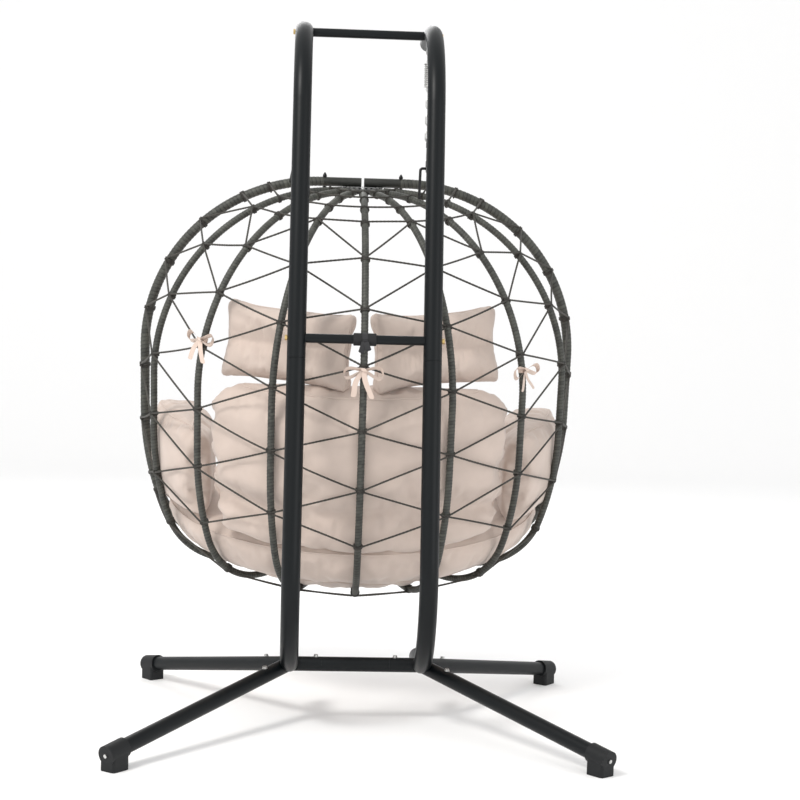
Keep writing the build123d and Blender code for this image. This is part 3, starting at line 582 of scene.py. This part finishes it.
def lumps(points, size, seed):
    """Smooth unevenness from a few random waves, about one unit high."""
    wild = np.random.default_rng(seed)
    total = np.zeros(len(points))
    for _ in range(9):
        way = wild.normal(size=3)
        way /= np.linalg.norm(way)
        total += np.sin(points @ way * (2 * pi / size) * (0.6 + wild.random()) + wild.random() * 2 * pi)
    return total / 3.0


def near_seams(points, lines, reach):
    """1 on the nearest of the lines, falling to 0 at reach. Each line is an (n, 3) array."""
    best = np.full(len(points), 1e9)
    for line in lines:
        for corner in line:
            best = np.minimum(best, ((points - corner) ** 2).sum(1))
    return np.clip(1 - np.sqrt(best) / reach, 0, 1)


def dense(corners, closed=True, step=9.0):
    """Points every few millimetres along a polyline in the basket's frame."""
    corners = [np.array(c, float) for c in corners]
    if closed:
        corners.append(corners[0])
    points = []
    for a, b in zip(corners, corners[1:]):
        count = max(1, int(np.linalg.norm(b - a) / step))
        points += [a + (b - a) * k / count for k in range(count)]
    if not closed:
        points.append(corners[-1])
    return np.array(points)


def smooth_shape(piece, rounds):
    relax = piece.modifiers.new("relax", "CORRECTIVE_SMOOTH")
    relax.iterations = rounds
    relax.use_only_smooth = True
    apply_modifiers(piece)


def refine(piece):
    surface = piece.modifiers.new("surface", "SUBSURF")
    surface.levels = surface.render_levels = 1
    apply_modifiers(piece)
    piece.data.shade_smooth()


def piping(name, piece, line, radius=2.6, closed=True):
    """A welt that follows the cushion's skin along a seam."""
    graph = bpy.context.evaluated_depsgraph_get()
    tree = BVHTree.FromObject(piece, graph)
    world = line @ np.array(BASKET.to_3x3()).T + np.array(BASKET.translation)
    spots, normals = [], []
    for point in world * MM:
        spot, normal, _, _ = tree.find_nearest(Vector(point))
        spots.append(np.array(spot) / MM + np.array(normal) * 0.6)
        normals.append(np.array(normal))
    spots, normals = np.array(spots), np.array(normals)
    for _ in range(3):
        smooth = (np.roll(spots, 1, axis=0) + spots * 2 + np.roll(spots, -1, axis=0)) / 4
        if not closed:
            smooth[0], smooth[-1] = spots[0], spots[-1]
        spots = smooth
    if closed:
        spots, normals = np.vstack([spots, spots[:1]]), np.vstack([normals, normals[:1]])
    skin = Skin()
    skin.tube(spots, normals, lambda s, a: radius + 0 * s * a, lambda s, a: 0.5 + 0 * s * a, 7)
    welt = skin.build(name, FINISHES["cushion_fabric"], Matrix.Identity(4))
    welt.parent = piece
    return welt


def cushion(node, voxel, seams, creases, pressure, cap, seed, rounds=6, reshape=None):
    """A stuffed cushion: the part's solid, blown up between its seams and creases."""
    piece = remeshed_copy(node, f"{node}_stuffed", voxel)
    smooth_shape(piece, rounds)
    local = to_basket(coordinates(piece.data))
    hold = near_seams(local, seams + creases, voxel / MM * 1.25)
    dent = near_seams(local, creases, CREASE_REACH) ** 2 if creases else np.zeros(len(local))
    points = coordinates(piece.data) - normals_of(piece.data) * (dent * CREASE_DEPTH * MM)[:, None]
    set_coordinates(piece.data, points)
    inflate(piece, hold > 0.05, pressure, 16, cap)
    points = coordinates(piece.data)
    bumps = lumps(to_basket(points), LARGE_LUMP, seed) * LARGE_LUMP_HEIGHT
    bumps += lumps(to_basket(points), SMALL_LUMP, seed + 1) * SMALL_LUMP_HEIGHT
    set_coordinates(piece.data, points + normals_of(piece.data) * (bumps * MM)[:, None])
    if reshape:
        set_coordinates(piece.data, reshape(coordinates(piece.data)))
    refine(piece)
    piece.data.materials.append(FINISHES["cushion_fabric"])
    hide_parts(node)
    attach(piece, "basket")
    for place, line in enumerate(seams):
        piping(f"{node}_welt_{place}", piece, line)
    return piece


def arc(radius, start, finish, h, count=60):
    """Points on a level arc about the basket's axis, between two angles in degrees."""
    turns = np.radians(np.linspace(start, finish, count))
    return [(radius * cos(t), radius * sin(t), -h) for t in turns]


def seat():
    top_front = [(x, 6, -(SEAT_TOP + 14)) for x in (-566, 566)]
    top = dense(top_front + arc(568, 2, 178, SEAT_TOP + 16))
    low_front = [(x, 4, -(SEAT_BOTTOM - 20)) for x in (-440, 440)]
    low = dense(low_front + arc(468, 4, 176, SEAT_BOTTOM - 28))
    cushion("seat_cushion", 0.014, [top, low], [], 3.0, 0.018, 11)


def back():
    edge = np.degrees(np.arccos(ARM_INNER_X / BACK_OUTER_R)) + 2
    r = BACK_OUTER_R - 6
    rear = [
        (r * cos(t), r * sin(t), -(BACK_TUFT_H + 12 * sin(6 * t)))
        for t in np.radians(np.linspace(edge + 3, 177 - edge, 50))
    ]
    tufts = []
    for x in BACK_TUFTS_X:
        y = sqrt((BACK_OUTER_R - 8) ** 2 - x**2)
        tufts.append(dense([(x - 34, y, -BACK_TUFT_H - 6), (x + 34, y, -BACK_TUFT_H + 6)], closed=False))
        tufts.append(dense([(x, y, -BACK_TUFT_H - 30), (x + 4, y, -BACK_TUFT_H + 34)], closed=False))
    front = dense([(-400, BACK_FRONT, -720), (400, BACK_FRONT, -720)], closed=False)
    flat = BACK_OUTER_R - 30
    side_edge = np.degrees(np.arccos(BACK_SHOULDER_X / flat))
    ends = [(x, BACK_FRONT + 6, -BACK_TOP - 4) for x in (-BACK_SHOULDER_X, BACK_SHOULDER_X)]
    top = dense(ends + arc(flat - 4, side_edge, 180 - side_edge, BACK_TOP + 6))
    cushion("back_cushion", 0.013, [top], [np.array(rear), front] + tufts, 3.4, 0.022, 23)


def arm_pad(name, side):
    inner = side * (ARM_INNER_X + 4)
    front_x = side * sqrt((BACK_OUTER_R - 10) ** 2 - ARM_PAD_FRONT**2)
    rear_y = BACK_FRONT - 8
    rear_x = side * sqrt((BACK_OUTER_R - 10) ** 2 - rear_y**2)
    z = -(ARM_PAD_TOP + 4)
    top = [(inner + side * 30, ARM_PAD_FRONT + 6, z), (inner + side * 30, rear_y, z), (rear_x, rear_y, z),
           (side * 545, 250, z), (front_x, ARM_PAD_FRONT + 6, z)]
    cushion(f"arm_cushion_{name}", 0.011, [dense(top)], [], 3.5, 0.022, 31 + side)


def pillow_place(side):
    angle = radians(90.0 - side * PILLOW_TURN)
    spot = Matrix.Translation((PILLOW_R * cos(angle), PILLOW_R * sin(angle), -PILLOW_H))
    return spot @ Matrix.Rotation(angle - pi / 2, 4, "Z") @ Matrix.Rotation(radians(PILLOW_TILT), 4, "X")


def pillow_cut(place):
    """Draws a pillow's corners out, pulls its sides in and thins its rim."""
    world = BASKET @ place
    turn, origin = np.array(world.to_3x3()), np.array(world.translation)

    def reshape(points):
        local = (points / MM - origin) @ turn
        u = np.minimum(np.abs(local[:, 0]) / (PILLOW_WIDTH / 2), 1.05)
        v = np.minimum(np.abs(local[:, 2]) / (PILLOW_HEIGHT / 2), 1.05)
        ear = PILLOW_EAR * (u * v) ** 4
        local[:, 0] += np.sign(local[:, 0]) * (ear - PILLOW_WAIST * (1 - v**2) * u**4)
        local[:, 2] += np.sign(local[:, 2]) * (ear * 0.9 - PILLOW_WAIST * (1 - u**2) * v**4)
        local[:, 1] *= 1 - 0.6 * np.maximum(u, v) ** 6 / 1.4
        return (local @ turn.T + origin) * MM

    return reshape


def pillow(name, side):
    place = pillow_place(side)
    half_w, half_h = PILLOW_WIDTH / 2 - 6, PILLOW_HEIGHT / 2 - 4
    rim = [(-half_w, 0, -half_h), (half_w, 0, -half_h), (half_w, 0, half_h), (-half_w, 0, half_h)]
    rim = [tuple(place @ Vector(c)) for c in rim]
    zip_line = [(-half_w + 30, PILLOW_THICK / 2, 4), (half_w - 30, PILLOW_THICK / 2, -2)]
    zip_line = [tuple(place @ Vector(c)) for c in zip_line]
    cushion(
        f"pillow_{name}", 0.0075, [dense(rim)], [dense(zip_line, closed=False)], 4.0, 0.012, 41 + side,
        rounds=2, reshape=pillow_cut(place),
    )


# ---------------------------------------------------------------- ribbons


def ribbon(name, runs, width, matrix, body, material, replaced=()):
    """Strips of ribbon in one mesh. Each run is (points, width direction), in millimetres."""
    points, faces, total = [], [], 0.0
    for line, across in runs:
        line = np.array(line, float)
        across = np.array(across, float) / np.linalg.norm(across)
        base = len(points)
        for spot in line:
            points += [spot - across * width / 2, spot + across * width / 2]
        for k in range(len(line) - 1):
            a = base + 2 * k
            faces.append((a, a + 1, a + 3, a + 2))
        total += np.linalg.norm(np.diff(line, axis=0), axis=1).sum()
    world = [(matrix @ Vector(p)) * MM for p in points]
    mesh = bpy.data.meshes.new(name)
    mesh.from_pydata(world, [], faces)
    mesh.materials.append(material)
    piece = bpy.data.objects.new(name, mesh)
    bpy.context.scene.collection.objects.link(piece)
    refine(piece)
    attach(piece, body)
    if replaced:
        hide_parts(*replaced)
    return piece


def loop_run(side, reach, height, turn):
    """One loop of a bow, out from the knot and back, bulging towards +Y."""
    line = []
    for k in range(15):
        t = k / 14
        x = side * reach * sin(pi * t) ** 0.8
        z = height * sin(2 * pi * t) + turn * sin(pi * t) * reach
        line.append((x, 3 + 3 * sin(pi * t), z))
    return line, (0.15 * side, 0.75, 0.55)


def tail_run(side, drop, spread, curl):
    line = []
    for k in range(11):
        t = k / 10
        line.append((side * spread * t + curl * sin(pi * t * 1.4), 3 + 2.5 * sin(pi * t), -drop * t))
    return line, (1.0, 0.25, 0.1 * side)


def bow(number, distance, seed, droop):
    """A ribbon bow tied round a rib: a band, two loops, and two tails that hang down."""
    centre, along, outward = local_rib_spot(number, distance)
    across = along.cross(outward).normalized()
    place = Matrix((across, outward, -along)).transposed().to_4x4()
    place.translation = centre + outward * (RIB_D / 2 + 1.5)
    place = BASKET @ place
    wild = np.random.default_rng(seed)
    runs = [
        loop_run(s, 46 + 10 * wild.random(), 12 + 4 * wild.random(), 0.25 - droop) for s in (1, -1)
    ]
    runs += [
        tail_run(s, 58 + 20 * wild.random(), 20 + 16 * wild.random(), 8 * wild.random())
        for s in (1, -1)
    ]
    knot_band = [(9 * cos(a) * 0.6, 4 + 4 * sin(a), 1 + 6 * cos(a)) for a in np.linspace(-0.6, 3.7, 12)]
    runs.append((knot_band, (1, 0, 0.1)))
    grip = RIB_D / 2 + 1.2
    band = [(grip * sin(a), grip * cos(a) - grip, 0) for a in np.linspace(0, 2 * pi, 25)]
    runs.append((band, (0, 0, 1)))
    replaced = ("pillow_ties",) if number == 3 else ()
    piece = ribbon(f"bow_{number}", runs, BOW_WIDTH, place, "basket", FINISHES["ribbon"], replaced)


def bumper_strap():
    """The strap tied round the foam on the middle crossbar, with its ends hanging behind."""
    low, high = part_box("bumper_sleeve")
    middle = (low + high) / 2 / MM
    grip = (high.z - low.z) / 2 / MM + 1.2
    place = Matrix.Translation(middle)
    band = [(0, grip * cos(a), grip * sin(a)) for a in np.linspace(0, 2 * pi, 33)]
    runs = [(band, (1, 0, 0))]
    for side, drop in ((1, 30), (-1, 24)):
        line = [
            (side * (2 + 9 * t), grip + 1 + 2 * sin(pi * t), -6 - drop * t)
            for t in np.linspace(0, 1, 9)
        ]
        runs.append((line, (1, 0.1, 0.35 * side)))
    finish, replaced = FINISHES["strap"], ("bumper_strap",)
    piece = ribbon("bumper_strap_tied", runs, STRAP_WIDTH, place, "stand", finish, replaced)


# ---------------------------------------------------------------- stage, light and camera


def stage():
    floor = bpy.data.meshes.new("floor")
    reach, back, rise, steps = 14.0, -7.0, 9.0, 16
    rows = [(20.0, 0.0), (back, 0.0)]
    rows += [(back - 2 * sin(a), 2 - 2 * cos(a)) for a in np.linspace(0.1, pi / 2, steps)]
    rows.append((back - 2, rise))
    points = [(x, y, z) for y, z in rows for x in (-reach, reach)]
    faces = [(2 * k, 2 * k + 1, 2 * k + 3, 2 * k + 2) for k in range(len(rows) - 1)]
    floor.from_pydata(points, [], faces)
    floor.shade_smooth()
    floor.materials.append(plain("studio_floor", (0.95, 0.95, 0.95), 0.9))
    sheet = bpy.data.objects.new("floor", floor)
    bpy.context.scene.collection.objects.link(sheet)


def area_light(name, place, aim, size, power, color=(1, 1, 1)):
    light = bpy.data.lights.new(name, "AREA")
    light.shape = "DISK"
    light.size = size
    light.energy = power
    light.color = color
    lamp = bpy.data.objects.new(name, light)
    bpy.context.scene.collection.objects.link(lamp)
    lamp.location = place
    lamp.rotation_euler = (Vector(aim) - Vector(place)).to_track_quat("-Z", "Y").to_euler()


def lights():
    bpy.context.scene.view_settings.view_transform = "Standard"
    world = bpy.data.worlds.new("studio")
    bpy.context.scene.world = world
    world.use_nodes = True
    world.node_tree.nodes["Background"].inputs["Color"].default_value = (1.0, 1.0, 1.0, 1)
    world.node_tree.nodes["Background"].inputs["Strength"].default_value = 0.95
    area_light("key", (2.6, 2.6, 4.4), (0, 0, 0.9), 1.6, 150, (1.0, 0.98, 0.95))
    area_light("fill", (-3.6, 3.6, 1.8), (0, 0, 1.0), 3.0, 40)
    area_light("front", (0.5, -4.5, 3.6), (0, 0, 1.1), 2.5, 60)


CAMERA_PLACE = (0.152614, 4.784412, 1.155773)
CAMERA_YAW, CAMERA_PITCH, CAMERA_ROLL = -0.0619, -0.05214, 0.02692
LENS, SENSOR = 77.624, 36.0  # millimetres
SHIFT_X, SHIFT_Y = -0.0164, -0.00675


def camera():
    data = bpy.data.cameras.new("camera")
    data.sensor_width = SENSOR
    data.lens = LENS
    data.shift_x, data.shift_y = SHIFT_X, SHIFT_Y
    ahead = Vector((
        sin(CAMERA_YAW) * cos(CAMERA_PITCH),
        -cos(CAMERA_YAW) * cos(CAMERA_PITCH),
        sin(CAMERA_PITCH),
    ))
    level = ahead.cross(Vector((0, 0, 1))).normalized()
    upright = level.cross(ahead)
    right = level * cos(CAMERA_ROLL) + upright * sin(CAMERA_ROLL)
    up = upright * cos(CAMERA_ROLL) - level * sin(CAMERA_ROLL)
    eye = bpy.data.objects.new("camera", data)
    bpy.context.scene.collection.objects.link(eye)
    turn = Matrix((right, up, -ahead)).transposed().to_4x4()
    eye.matrix_world = Matrix.Translation(CAMERA_PLACE) @ turn
    bpy.context.scene.camera = eye


finish_cad_nodes()
for rib_number in range(1, RIB_COUNT + 1):
    wound_rib(rib_number)
for side_label, side_sign in SIDES:
    net(side_label, side_sign)
    arm_pad(side_label, side_sign)
    pillow(side_label, side_sign)
seat()
back()
bow(3, 789.0, 3, 0.1)
bow(7, 849.0, 5, 0.35)
bow(5, 816.0, 9, 0.45)
bumper_strap()
stage()
lights()
camera()
